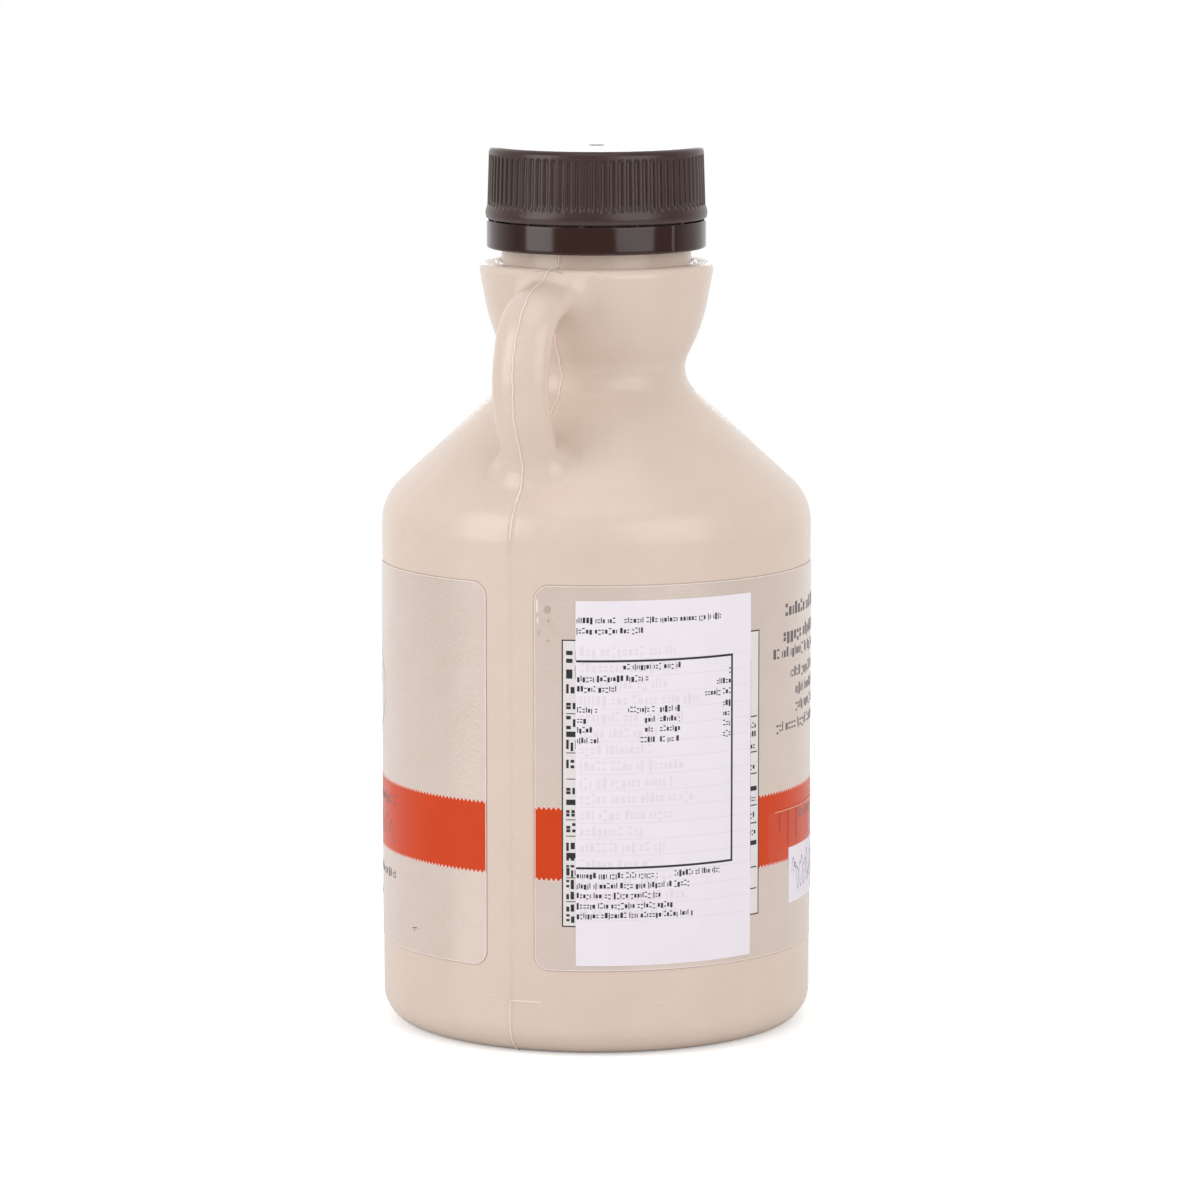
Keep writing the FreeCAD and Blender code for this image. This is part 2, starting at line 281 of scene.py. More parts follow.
def jug_handle():
    """Lines along the bar, one for each angle round it, that run on over the body at both ends.

    Each line follows the bar between the places where it meets the body, then leaves over the body away
    from the bar. What would rise above the collar turns inward over its top instead, and lines that rise
    steeply are shorter, to end before the neck. All points settle on the jug's surface, and the ends
    dive under the body and close.
    """
    run = np.gradient(HANDLE_LINE, axis=0)
    run /= np.linalg.norm(run, axis=1, keepdims=True)
    outward = np.column_stack([-run[:, 1], run[:, 0]])
    ridge = RIDGE_STEPS * RIDGE_HALF_WIDTH / HANDLE_HALF_WIDTH
    even = np.arange(1, 40) * math.pi / 40
    angle = np.concatenate([ridge, even, ridge + math.pi, even + math.pi])
    bump = np.sqrt(1 - RIDGE_STEPS ** 2)
    drift = np.concatenate([ridge * 0 + 1, 0 * even, ridge * 0 + 1, 0 * even])
    bump = np.concatenate([bump, 0 * even, bump, 0 * even])
    lines = []
    for turn in angle:
        across = HANDLE_HALF_DEPTH * math.cos(turn)
        bar = np.column_stack([HANDLE_LINE[:, 0] + across * outward[:, 0],
                               np.full(len(HANDLE_LINE), HANDLE_HALF_WIDTH * math.sin(turn)),
                               HANDLE_LINE[:, 1] + across * outward[:, 1]])
        level = from_body(bar)
        first = np.argmax(level > 0)
        last = len(level) - 1 - np.argmax(level[::-1] > 0)
        length = np.concatenate([[0], np.cumsum(np.linalg.norm(np.diff(bar, axis=0), axis=1))])
        ends, stops = [], []
        for inner, outer in ((first - 1, first), (last + 1, last)):
            step = level[outer] / (level[outer] - level[inner])
            spot = bar[outer] + step * (bar[inner] - bar[outer])
            core = HANDLE_LINE[outer] + step * (HANDLE_LINE[inner] - HANDLE_LINE[outer])
            stops.append(length[outer] + step * (length[inner] - length[outer]))
            normal = slope_of(from_body, spot[None])[0]
            away = spot - np.array([core[0], 0, core[1]])
            away -= (away @ normal) * normal
            away /= np.linalg.norm(away)
            reach = ROOT_REACH - (TOP_REACH_CUT if outer == first else 0) * max(away[2], 0) ** 4
            path = spot + np.linspace(0.4, reach, 20)[:, None] * away
            above = np.maximum(path[:, 2:] - COLLAR_HEIGHT, 0)
            path[:, :2] *= 1 - above / np.hypot(path[:, :1], path[:, 1:2])
            path[:, 2:] -= above
            ends.append(path)
        places = np.linspace(stops[0], stops[1], 91)
        middle = np.column_stack([np.interp(places, length, bar[:, axis]) for axis in range(3)])
        lines.append(np.concatenate([ends[0][::-1], middle, ends[1]]))
    grid = np.stack(lines, axis=1)
    rows, columns = grid.shape[:2]
    points = settle(grid.reshape(-1, 3), 7)
    normal = slope_of(from_jug, points)
    normal /= np.linalg.norm(normal, axis=1, keepdims=True)
    edge = np.minimum(np.arange(rows), np.arange(rows)[::-1])
    last_row = SINK * np.clip(1 - edge / 4, 0, 1) ** 2
    sink = np.maximum(under_body(points).reshape(rows, columns), last_row[:, None])
    fade = np.clip(edge / 4, 0, 1)[:, None] * bump[None, :] * RIDGE_HEIGHT
    points += normal * (fade - sink).reshape(-1, 1)
    points[:, 1] += (drift[None, :] * ridge_drift(points[:, 2].reshape(rows, columns))).ravel()
    grid = points.reshape(rows, columns, 3)
    closing = np.array([[[18.0, 0, 139.0]], [[24.0, 0, 98.0]]]) + np.zeros((2, columns, 3))
    grid = np.concatenate([closing[:1], grid, closing[1:]])
    return grid.reshape(-1, 3), grid_faces(rows + 2, columns, True)


body_points, body_faces = jug_body()
handle_points, handle_faces = jug_handle()
jug_skin = add_mesh("jug_skin", np.concatenate([body_points, handle_points]),
                    list(body_faces) + list(handle_faces + len(body_points)))
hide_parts("jug")


# ---- Jug: plastic --------------------------------------------------------
# Satin polyethylene, milky beige. Its skin has a fine orange peel, slow waves from the blowing, a
# cloudy change of tone and a few dark specks.

def linear(red, green, blue):
    """A screen colour, 0 to 255, as the linear colour that a shader takes."""
    shares = np.array([red, green, blue]) / 255
    value = np.where(shares <= 0.04045, shares / 12.92, ((shares + 0.055) / 1.055) ** 2.4)
    return (*value.tolist(), 1.0)


def new_material(name, roughness):
    """A material with its node tree, links and main shader."""
    material = bpy.data.materials.new(name)
    material.use_nodes = True
    shader = material.node_tree.nodes["Principled BSDF"]
    shader.inputs["Roughness"].default_value = roughness
    return material, material.node_tree.nodes, material.node_tree.links, shader


def skin_group():
    """A shared node group: grain and slow waves of a moulded skin as a normal, and a mottle mask."""
    group = bpy.data.node_groups.new("moulded_skin", "ShaderNodeTree")
    group.interface.new_socket("Grain", in_out="INPUT", socket_type="NodeSocketFloat")
    group.interface.new_socket("Waves", in_out="INPUT", socket_type="NodeSocketFloat")
    group.interface.new_socket("Normal", in_out="OUTPUT", socket_type="NodeSocketVector")
    group.interface.new_socket("Mottle", in_out="OUTPUT", socket_type="NodeSocketFloat")
    nodes, links = group.nodes, group.links
    inputs = nodes.new("NodeGroupInput")
    outputs = nodes.new("NodeGroupOutput")
    place = nodes.new("ShaderNodeTexCoord")
    normal = None
    for scale, detail, distance, socket in ((90, 1, 0.0006, "Waves"), (1500, 2, 0.00006, "Grain")):
        noise = nodes.new("ShaderNodeTexNoise")
        noise.inputs["Scale"].default_value = scale
        noise.inputs["Detail"].default_value = detail
        bump = nodes.new("ShaderNodeBump")
        bump.inputs["Distance"].default_value = distance
        links.new(place.outputs["Object"], noise.inputs["Vector"])
        links.new(noise.outputs["Fac"], bump.inputs["Height"])
        links.new(inputs.outputs[socket], bump.inputs["Strength"])
        if normal:
            links.new(normal, bump.inputs["Normal"])
        normal = bump.outputs["Normal"]
    mottle = nodes.new("ShaderNodeTexNoise")
    mottle.inputs["Scale"].default_value = 160
    mottle.inputs["Detail"].default_value = 3
    links.new(place.outputs["Object"], mottle.inputs["Vector"])
    links.new(normal, outputs.inputs["Normal"])
    links.new(mottle.outputs["Fac"], outputs.inputs["Mottle"])
    return group


SKIN = skin_group()


def skin_node(nodes, grain, waves):
    """The shared skin in a material, at a given strength of grain and waves."""
    node = nodes.new("ShaderNodeGroup")
    node.node_tree = SKIN
    node.inputs["Grain"].default_value = grain
    node.inputs["Waves"].default_value = waves
    return node


def two_colours(nodes, links, mask, dark, light):
    """A colour between two, by a mask."""
    mix = nodes.new("ShaderNodeMix")
    mix.data_type = "RGBA"
    mix.inputs[6].default_value = dark
    mix.inputs[7].default_value = light
    links.new(mask, mix.inputs[0])
    return mix.outputs[2]


def skinned(name, roughness, grain, waves, dark, light):
    """A material with the shared skin, and its colour a cloudy change between two screen colours."""
    material, nodes, links, shader = new_material(name, roughness)
    skin = skin_node(nodes, grain, waves)
    colour = two_colours(nodes, links, skin.outputs["Mottle"], linear(*dark), linear(*light))
    links.new(skin.outputs["Normal"], shader.inputs["Normal"])
    links.new(colour, shader.inputs["Base Color"])
    return material, nodes, links, shader


def jug_material(name, dark, light):
    """The skin's mottle between two tones, with specks; the collar's level top has hardly any shine."""
    material, nodes, links, shader = skinned(name, 0.24, 0.9, 0.35, dark, light)
    mottle = shader.inputs["Base Color"].links[0].from_socket
    place = nodes.new("ShaderNodeTexCoord")
    cells = nodes.new("ShaderNodeTexVoronoi")
    cells.inputs["Scale"].default_value = 55
    links.new(place.outputs["Object"], cells.inputs["Vector"])
    speck = nodes.new("ShaderNodeMapRange")
    speck.inputs["From Min"].default_value = 0.006
    speck.inputs["From Max"].default_value = 0.014
    links.new(cells.outputs["Distance"], speck.inputs["Value"])
    mix = nodes.new("ShaderNodeMix")
    mix.data_type = "RGBA"
    mix.inputs[6].default_value = linear(176, 150, 132)
    links.new(mottle, mix.inputs[7])
    links.new(speck.outputs["Result"], mix.inputs[0])
    links.new(mix.outputs[2], shader.inputs["Base Color"])
    matt = nodes.new("ShaderNodeAttribute")
    matt.attribute_name = "level_top"
    shine = nodes.new("ShaderNodeMapRange")
    shine.inputs["To Min"].default_value = 0.5
    shine.inputs["To Max"].default_value = 0.004
    links.new(matt.outputs["Fac"], shine.inputs["Value"])
    links.new(shine.outputs["Result"], shader.inputs["Specular IOR Level"])
    return material


def mark_ridge(piece):
    """Gives the ridge's and the fin's faces the second material, a paler copy of the plastic: a painted
    highlight along them.
    """
    centres = np.empty(len(piece.data.polygons) * 3)
    piece.data.polygons.foreach_get("center", centres)
    x, y, z = centres.reshape(-1, 3).T / MM
    near = np.abs(y - ridge_drift(z)) < 0.75 * RIDGE_HALF_WIDTH
    clear = (ridge_fade(z) > 0.5) & (np.abs(x) > 12) & (z < COLLAR_HEIGHT + 3)
    fin = (x > 0) & (y > 0) & (y < FIN_LENGTH - 0.8) & (np.abs(z - BASE_LINE) < 0.1)
    piece.data.polygons.foreach_set("material_index", (near & clear | fin).astype(int))


def mark_level_top(piece):
    """How far a point lies on the collar's level top: its rise over the collar's rounded edge, times how
    nearly its normal stands upright, kept as an attribute of the piece."""
    count = len(piece.data.vertices)
    places, normals = np.empty(count * 3), np.empty(count * 3)
    piece.data.vertices.foreach_get("co", places)
    piece.data.vertices.foreach_get("normal", normals)
    rise = np.clip((places[2::3] / MM - 141.2) / 0.6, 0, 1)
    upright = np.clip((normals[2::3] - 0.7) / 0.2, 0, 1)
    level = piece.data.attributes.new("level_top", "FLOAT", "POINT")
    level.data.foreach_set("value", rise * upright)


jug_skin.data.materials.append(jug_material("jug_plastic", (213, 193, 178), (219, 200, 186)))
# The second material is the plastic made paler: a painted highlight along the ridge and the fin
jug_skin.data.materials.append(jug_material("jug_ridge_highlight", (234, 218, 206), (240, 226, 215)))
mark_ridge(jug_skin)
mark_level_top(jug_skin)


# ---- Cap -----------------------------------------------------------------
# A dark brown screw cap: eighty rounded ribs between a bead at its foot and a smooth rim, with grooves
# that end in small arches, a flat top, and the bore that the neck stands in.

CAP_BOTTOM, CAP_TOP = 150.39, 163.89
CAP_RADIUS = 20.22
BORE_RADIUS = 17.95
RIB_COUNT = 80
SLOT_DEPTH = 0.45


def cap_shell():
    """The cap's outline on a grid of heights and angles, with a slot pressed in between each two ribs.

    A slot has a round top. Its depth grows with the distance d inside its edge as a smooth step over a
    third of a millimetre, where d is half the slot's width less the distance from its middle line.
    """
    foot, head, pitch = CAP_BOTTOM + 2.6, CAP_TOP - 1.35, 2 * math.pi * 20 / RIB_COUNT
    half = 0.4 * pitch
    arches = [(CAP_RADIUS - 0.3 * (z - foot) / (head - foot), z, 0)
              for z in np.linspace(head - 1.4, head, 10)]
    bead = [(BORE_RADIUS, CAP_BOTTOM, 0.3), (20.4, CAP_BOTTOM, 0.5), (20.66, CAP_BOTTOM + 1.2, 2.2),
            (CAP_RADIUS, foot, 0)]
    top = [(19.9, CAP_TOP, 1.25), (3, CAP_TOP, 0), (1.7, CAP_TOP, 0.2), (1.4, CAP_TOP - 0.25, 0.1),
           (0.6, CAP_TOP - 0.25, 0.1), (0.5, CAP_TOP - 0.02, 0.1), (0, CAP_TOP - 0.02, 0)]
    line = rounded_line(bead + arches + top, 0.22)
    line = np.concatenate([[[0, NECK_TOP]], [[BORE_RADIUS, NECK_TOP]], line])
    radius, height = line[:, :1], line[:, 1:]
    share = np.array([-0.5, -0.44, -0.4, -0.36, -0.31, -0.26, -0.18, 0, 0.18, 0.26, 0.31, 0.36, 0.4, 0.44])
    across = np.tile(share * pitch, RIB_COUNT)[None, :]
    angle = (np.repeat(np.arange(RIB_COUNT), len(share)) + np.tile(share, RIB_COUNT))[None, :]
    angle = angle * 2 * math.pi / RIB_COUNT
    inside = half - np.hypot(across, np.maximum(height - (head - half), 0))
    step = np.clip(inside / 0.33, 0, 1)
    depth = SLOT_DEPTH * step * step * (3 - 2 * step) * np.clip((height - foot) / 0.3, 0, 1)
    out = radius - depth * (radius > 19)
    points = np.stack([out * np.cos(angle), out * np.sin(angle), height + 0 * angle], axis=-1)
    return points.reshape(-1, 3), grid_faces(len(line), angle.shape[1], True)


cap_skin = add_mesh("cap_skin", *cap_shell())
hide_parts("cap")
cap_skin.data.materials.append(skinned("cap_plastic", 0.31, 0.6, 0.2, (61, 42, 38), (70, 51, 47))[0])


# ---- Tamper band ---------------------------------------------------------
# A glossier dark ring under the cap, with rounded edges, twelve small bridges up to the cap and one
# low upright rib where the ring's mould closed.

BAND_BOTTOM, BAND_TOP = 145.04, 150.2
BAND_RADIUS = 20.35
BRIDGE_COUNT = 12
SEAM_TURN = math.radians(66.8)
SEAM_HALF_WIDTH = 0.09
SEAM_HEIGHT = 0.05


def band_ring():
    """A closed ring turned about Z, with the seam as a low round-topped rib beside one of its angles."""
    line = rounded_line([(19.2, BAND_BOTTOM, 0), (BAND_RADIUS, BAND_BOTTOM, 0.4),
                         (BAND_RADIUS, BAND_TOP, 0.2), (BORE_RADIUS, BAND_TOP, 0.2),
                         (BORE_RADIUS, BAND_BOTTOM, 0.2), (19.2, BAND_BOTTOM, 0)], 0.12)
    offsets = np.linspace(-1, 1, 7)
    seam = SEAM_TURN + offsets * SEAM_HALF_WIDTH / BAND_RADIUS
    angle = np.concatenate([seam, SEAM_TURN + np.arange(1, 256) * 2 * math.pi / 256])[None, :]
    raised = np.concatenate([np.sqrt(1 - offsets ** 2), np.zeros(255)])[None, :] * SEAM_HEIGHT
    radius, height = line[:, :1], line[:, 1:]
    out = radius + raised * (radius > 20.2)
    points = np.stack([out * np.cos(angle), out * np.sin(angle), height + 0 * angle], axis=-1)
    return points.reshape(-1, 3), grid_faces(len(line), angle.shape[1], True)


def bridges():
    """Small blocks round the top of the band, each a box whose sides lean in towards its top."""
    points, faces = [], []
    for number in range(BRIDGE_COUNT):
        turn = 2 * math.pi * (number + 0.5) / BRIDGE_COUNT
        out = np.array([math.cos(turn), math.sin(turn), 0])
        side = np.array([-math.sin(turn), math.cos(turn), 0])
        first = len(points)
        for z, half in ((BAND_TOP - 0.3, 0.45), (CAP_BOTTOM + 0.1, 0.35)):
            for across, radius in ((-half, 19.35), (half, 19.35), (half, 20.15), (-half, 20.15)):
                points.append(out * radius + side * across + np.array([0, 0, z]))
        faces += [[first + i for i in face] for face in
                  ((0, 1, 2, 3), (4, 5, 6, 7), (0, 1, 5, 4), (1, 2, 6, 5), (2, 3, 7, 6), (3, 0, 4, 7))]
    return np.array(points), faces


ring_points, ring_faces = band_ring()
bridge_points, bridge_faces = bridges()
band_skin = add_mesh("band_skin", np.concatenate([ring_points, bridge_points]),
                     list(ring_faces) + [[len(ring_points) + i for i in face] for face in bridge_faces])
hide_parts("tamper_band")
band_skin.data.materials.append(skinned("band_plastic", 0.14, 0.1, 0.25, (49, 30, 26), (55, 36, 31))[0])


# ---- Labels --------------------------------------------------------------
# Two pearly film labels with rounded corners, front and back, that stop short of the handle's plane.

FILM = 0.12
LABEL_BOTTOM, LABEL_TOP = 16.2, 87.0
LABEL_START = 4.775
LABEL_WIDTH = math.pi * BODY_RADIUS - 2 * LABEL_START
LABEL_CORNER = 2.8


def wrapped(name, radius, thickness, start, width, bottom, top, corner):
    """A thin closed skin round the body, with its corners rounded and its UV map in millimetres.

    On a grid of heights and shares of the width, each row is the wider part of a rounded rectangle at
    that height: near an edge, a corner of radius r has drawn it in by r less the root of r^2 - d^2,
    where d is how far inside the corner's centre line the row lies. U is the arc and V the height.
    """
    ends = np.linspace(0, 1, 9) ** 2 * max(corner, 0.4)
    rows = np.concatenate([bottom + ends, np.linspace(bottom + 4, top - 4, 24), (top - ends)[::-1]])
    depth = np.clip(corner - np.minimum(rows - bottom, top - rows), 0, corner)
    inset = corner - np.sqrt(np.maximum(corner ** 2 - depth ** 2, 0))
    columns = max(12, int(width / 0.9))
    share = np.linspace(0, 1, columns)
    arc = start + inset[:, None] + (width - 2 * inset)[:, None] * share[None, :]
    angle = arc / BODY_RADIUS
    height = rows[:, None] + 0 * arc
    skins = []
    for distance in (radius + thickness, radius):
        skins.append(np.stack([distance * np.cos(angle), distance * np.sin(angle), height], axis=-1))
    count = len(rows) * columns
    faces = list(grid_faces(len(rows), columns, False)) + list(grid_faces(len(rows), columns, False, count))
    row = np.arange(len(rows))
    rim = np.concatenate([row * columns, (len(rows) - 1) * columns + np.arange(1, columns),
                          (row * columns + columns - 1)[-2::-1], np.arange(1, columns - 1)[::-1]])
    faces += [[a, b, b + count, a + count] for a, b in zip(rim, np.roll(rim, -1))]
    piece = add_mesh(name, np.concatenate([skin.reshape(-1, 3) for skin in skins]), faces)
    layer = piece.data.uv_layers.new(name="UVMap")
    places = np.empty(len(piece.data.vertices) * 3)
    piece.data.vertices.foreach_get("co", places)
    places = places.reshape(-1, 3) / MM
    turn = np.arctan2(places[:, 1], places[:, 0])
    middle = (start + width / 2) / BODY_RADIUS
    turn = middle + (turn - middle + math.pi) % (2 * math.pi) - math.pi
    corners = np.empty(len(piece.data.loops), int)
    piece.data.loops.foreach_get("vertex_index", corners)
    flat = np.column_stack([turn * BODY_RADIUS, places[:, 2]])[corners]
    layer.data.foreach_set("uv", flat.ravel())
    piece.data.set_sharp_from_angle(angle=math.radians(40))
    return piece


back_skin = wrapped("back_label_skin", BODY_RADIUS, FILM, LABEL_START, LABEL_WIDTH, LABEL_BOTTOM, LABEL_TOP,
                    LABEL_CORNER)
front_skin = wrapped("front_label_skin", BODY_RADIUS, FILM, LABEL_START + math.pi * BODY_RADIUS, LABEL_WIDTH,
                     LABEL_BOTTOM, LABEL_TOP, LABEL_CORNER)
for piece, node in ((back_skin, "back_label"), (front_skin, "front_label")):
    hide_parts(node)

FILM_LOOK, _, _, film_shader = skinned("label_film", 0.22, 1.0, 0.3, (211, 194, 183), (218, 202, 193))
film_shader.inputs["Metallic"].default_value = 0.15
back_skin.data.materials.append(FILM_LOOK)
front_skin.data.materials.append(FILM_LOOK)


# ---- Stickers and tape ---------------------------------------------------
# A large white sticker of small print and a small white one, both on the back label, and clear tape
# that holds the small one.

PAPER = 0.12
TAPE = 0.08
info_skin = wrapped("info_sticker_skin", BODY_RADIUS + FILM, PAPER, 12.405, 34.8, 17.2, 84.3, 0.3)
note_skin = wrapped("note_sticker_skin", BODY_RADIUS + FILM, PAPER, 59.605, 20, 24.8, 35.2, 0.2)
tape_skin = wrapped("clear_tape_skin", BODY_RADIUS + FILM + PAPER, TAPE, 52.355, 34.5, 23.9, 42.6, 0.2)
for piece, node, slot in ((info_skin, "info_sticker", "sticker_paper"),
                          (note_skin, "note_sticker", "sticker_paper"),
                          (tape_skin, "clear_tape", "tape_film")):
    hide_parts(node)


def tape_material():
    """Clear film: all but see-through, with its shine and slow waves."""
    material, nodes, links, shader = new_material("tape_film", 0.12)
    skin = skin_node(nodes, 0.2, 1.0)
    links.new(skin.outputs["Normal"], shader.inputs["Normal"])
    shader.inputs["Base Color"].default_value = linear(235, 228, 225)
    shader.inputs["Alpha"].default_value = 0.012
    return material


PAPER_LOOK = skinned("sticker_paper", 0.45, 0.4, 0.1, (230, 223, 230), (236, 230, 236))[0]
info_skin.data.materials.append(PAPER_LOOK)
note_skin.data.materials.append(PAPER_LOOK)
tape_skin.data.materials.append(tape_material())


# ---- Print ---------------------------------------------------------------
# Thin ink on labels and stickers: an orange band with pinked edges, panels, rules, and small blocks in
# groups that stand in for words. It says nothing, and no picture is drawn.

INK = 0.015


def bar(start, end, low, high):
    """A field between two arcs of the body and two heights, divided along the arc to follow the curve."""
    arcs = np.linspace(start, end, 2 + int(abs(end - start) / 1.2))
    return arcs, np.full(len(arcs), low), np.full(len(arcs), high)


def outline(start, end, low, high, line):
    """Four bars round a rectangle, inside its edges."""
    return [bar(start, end, low, low + line), bar(start, end, high - line, high),
            bar(start, start + line, low, high), bar(end - line, end, low, high)]


def pinked(start, end, low, high, tooth, depth):
    """A field whose lower and upper edges run in and out, a tooth at a time."""
    arcs = np.linspace(start, end, 2 * round((end - start) / tooth) + 1)
    inward = depth * (np.arange(len(arcs)) % 2)
    return arcs, low + inward, high - inward


def blot(arc, height, half_width, half_height):
    """A field bounded by an ellipse."""
    share = np.linspace(-1, 1, 13)
    half = half_height * np.sqrt(1 - share ** 2)
    return arc + half_width * share, height - half, height + half


def hem(start, end, low, high, corner, inner, outer):
    """A ribbon along a rounded rectangle's edge, between two distances inside it.

    It comes as its inner and outer lines, each closed on itself: quarter circles about the corners'
    centres, with the distance taken from the corner's radius, joined by the sides.
    """
    side = np.arange(0, 1, 1 / 60)
    lines = []
    for inset in (inner, outer):
        corners = []
        for arc, height, turn in ((end - corner, low + corner, -90), (end - corner, high - corner, 0),
                                  (start + corner, high - corner, 90), (start + corner, low + corner, 180)):
            angle = np.radians(turn + np.linspace(0, 90, 11))
            corners.append(np.column_stack([arc + (corner - inset) * np.cos(angle),
                                            height + (corner - inset) * np.sin(angle)]))
        line = []
        for index, points in enumerate(corners):
            onward = corners[(index + 1) % 4][0] - points[-1]
            line += [points, points[-1] + onward * side[1:, None]]
        lines.append(np.concatenate(line))
    return lines


def stroke(start, end, middle, waves, width):
    """A pen line that swings about a middle height: the sum of a sine for each (height, length)."""
    arcs = np.linspace(start, end, 2 + int((end - start) / 0.12))
    swing = sum(height * np.sin(2 * math.pi * (arcs - start) / length) for height, length in waves)
    return arcs, middle + swing - width / 2, middle + swing + width / 2


def words(dice, start, end, middle, size, weight=1.0):
    """Blocks of mixed width and height, in groups with gaps between them, from start to end.

    size is the height of a tall block. A third of the blocks are narrow, a third are split into an
    upper and a lower dash, and the rest are whole. A dash is a fifth of size high times the weight.
    """
    fields, place, left = [], start, dice.integers(2, 9)
    foot, dash = middle - 0.42 * size, 0.2 * size * weight
    while place < end - 0.15 * size:
        kind = dice.integers(3)
        width = size * (0.17 * weight if kind == 0 else dice.uniform(0.34, 0.5))
        top = foot + size * dice.choice([0.7, 0.7, 1.0])
        low = foot - size * dice.choice([0, 0, 0, 0.22])
        stop = min(place + width, end)
        if kind == 1:
            fields += [bar(place, stop, low, low + dash), bar(place, stop, top - dash, top)]
        else:
            fields.append(bar(place, stop, low, top))
        left -= 1
        place += width + 0.2 * size
        if left == 0:
            place += 0.35 * size
            left = dice.integers(2, 9)
    return fields


def inked(name, radius, fields, material):
    """One thin closed block for each field, standing on a surface of the given radius: print, and also
    painted highlights and painted shade.

    A field is the arcs of its points with their lower and upper heights, or the two lines of a hem.
    """
    points, faces = [], []
    for field in fields:
        first, closed = len(points), len(field) == 2
        if closed:
            inner, outer = field
        else:
            inner, outer = np.column_stack([field[0], field[1]]), np.column_stack([field[0], field[2]])
        corners = [(radius - INK, inner), (radius + INK, inner), (radius + INK, outer), (radius - INK, outer)]
        rings = np.stack([np.column_stack([
            r * np.cos(line[:, 0] / BODY_RADIUS), r * np.sin(line[:, 0] / BODY_RADIUS), line[:, 1]])
            for r, line in corners], axis=1)
        points += rings.reshape(-1, 3).tolist()
        if closed:
            place = np.arange(len(inner))
            faces += (first + np.stack([4 * place[:, None] + [0, 1, 2, 3],
                                        4 * place[:, None] + [1, 2, 3, 0],
                                        4 * ((place[:, None] + 1) % len(inner)) + [1, 2, 3, 0],
                                        4 * ((place[:, None] + 1) % len(inner)) + [0, 1, 2, 3]],
                                       axis=-1).reshape(-1, 4)).tolist()
        else:
            faces += grid_faces(len(inner), 4, True, first).tolist()
            last = first + 4 * (len(inner) - 1)
            faces += [[first, first + 1, first + 2, first + 3], [last, last + 1, last + 2, last + 3]]
    piece = add_mesh(name, np.array(points), faces)
    piece.data.polygons.foreach_set("use_smooth", np.zeros(len(piece.data.polygons), bool))
    piece.data.materials.append(material)
    return piece


def ink_material(name, dark, light, roughness, shine=0.5):
    """Ink with a cloudy change between two near tones; the same makes the painted highlights and painted
    shade.
    """
    material, _, _, shader = skinned(name, roughness, 0.5, 0.2, dark, light)
    shader.inputs["Specular IOR Level"].default_value = shine
    return material


BLACK_INK = ink_material("black_ink", (34, 32, 37), (46, 44, 50), 0.5)
GREY_INK = ink_material("grey_ink", (98, 92, 92), (110, 103, 103), 0.5)
ORANGE_INK = ink_material("orange_ink", (201, 60, 12), (208, 66, 17), 0.3, 0.25)
# Pale ink for the band's rim; the same colour is also the painted highlight on the labels' cut edges and
# their lifted corner
PALE_INK_AND_HIGHLIGHT = ink_material("pale_ink_and_highlight", (228, 212, 202), (234, 220, 212), 0.4)
PANEL_INK = ink_material("panel_ink", (220, 215, 213), (225, 220, 218), 0.4)
GHOST_INK = ink_material("ghost_ink", (223, 215, 223), (226, 219, 226), 0.45)
PEN_INK = ink_material("pen_ink", (78, 76, 140), (96, 94, 158), 0.4)
# Painted highlight: a pale orange line along the tape's top edge
TAPE_HIGHLIGHT_PAINT = ink_material("painted_tape_highlight", (232, 176, 150), (238, 186, 162), 0.3)
# Painted shade: darker orange lines where the tape is creased
CREASE_SHADE_PAINT = ink_material("painted_crease_shade", (170, 70, 44), (182, 80, 54), 0.3)
# Painted shade: a darker tone of the jug, laid beside the labels' edges and in the bubbles
SHADE_INK = ink_material("shade_ink", (176, 158, 146), (186, 168, 156), 0.45)
SCUFF_INK = ink_material("scuff_ink", (112, 88, 78), (140, 116, 104), 0.6)
FILM_FACE = BODY_RADIUS + FILM
PAPER_FACE = FILM_FACE + PAPER
LABEL_END = LABEL_START + LABEL_WIDTH
HALF_TURN = math.pi * BODY_RADIUS
dice = np.random.default_rng(7)

for name, shift, low, high in (("back", 0, 32.7, 46.5), ("front", HALF_TURN, 33.3, 46.9)):
    start, end = LABEL_START + shift, LABEL_END + shift
    for part, radius, more, material in (("band_rim", FILM_FACE - 0.004, 0.15, PALE_INK_AND_HIGHLIGHT),
                                         ("band", FILM_FACE, 0, ORANGE_INK)):
        inked(f"{name}_{part}", radius,
              [pinked(start, end, low - more, high + more, 0.9, 0.62)], material)

# Painted highlight: a pale ribbon along each label's cut edge; painted shade: a thin darker ribbon on the jug
# beside it
for name, shift in (("back", 0), ("front", HALF_TURN)):
    for part, radius, inner, outer, material in (("edge", FILM_FACE, 0.2, 0.05, PALE_INK_AND_HIGHLIGHT),
                                                 ("shade", BODY_RADIUS, 0, -0.13, SHADE_INK)):
        edge = hem(LABEL_START + shift, LABEL_END + shift, LABEL_BOTTOM, LABEL_TOP, LABEL_CORNER,
                   inner, outer)
        inked(f"{name}_label_{part}", radius, [edge], material)

# Bubbles and a lifted edge at the back label's corner, drawn as painted shade and a painted highlight, and a
# scuff near the front label's foot
inked("label_lift_highlight", FILM_FACE - 0.005, [
    blot(5.35, 83.2, 0.22, 1.3), blot(5.45, 80.6, 0.18, 0.6)], PALE_INK_AND_HIGHLIGHT)
inked("label_bubble_shade", FILM_FACE - 0.005, [
    blot(7.3, 82.6, 0.65, 0.75), blot(7.5, 80.5, 0.25, 0.4), blot(7.4, 76.9, 0.3, 0.25),
    blot(5.7, 78.3, 0.2, 0.5)], SHADE_INK)
inked("label_scuff", FILM_FACE, [
    (np.linspace(227.1, 228.6, 6), 20.5 + np.linspace(0, 0.3, 6), 20.75 + np.linspace(0, 0.22, 6)),
    bar(227.6, 228.0, 20.2, 20.4), bar(229.0, 229.2, 20.7, 20.85)], SCUFF_INK)

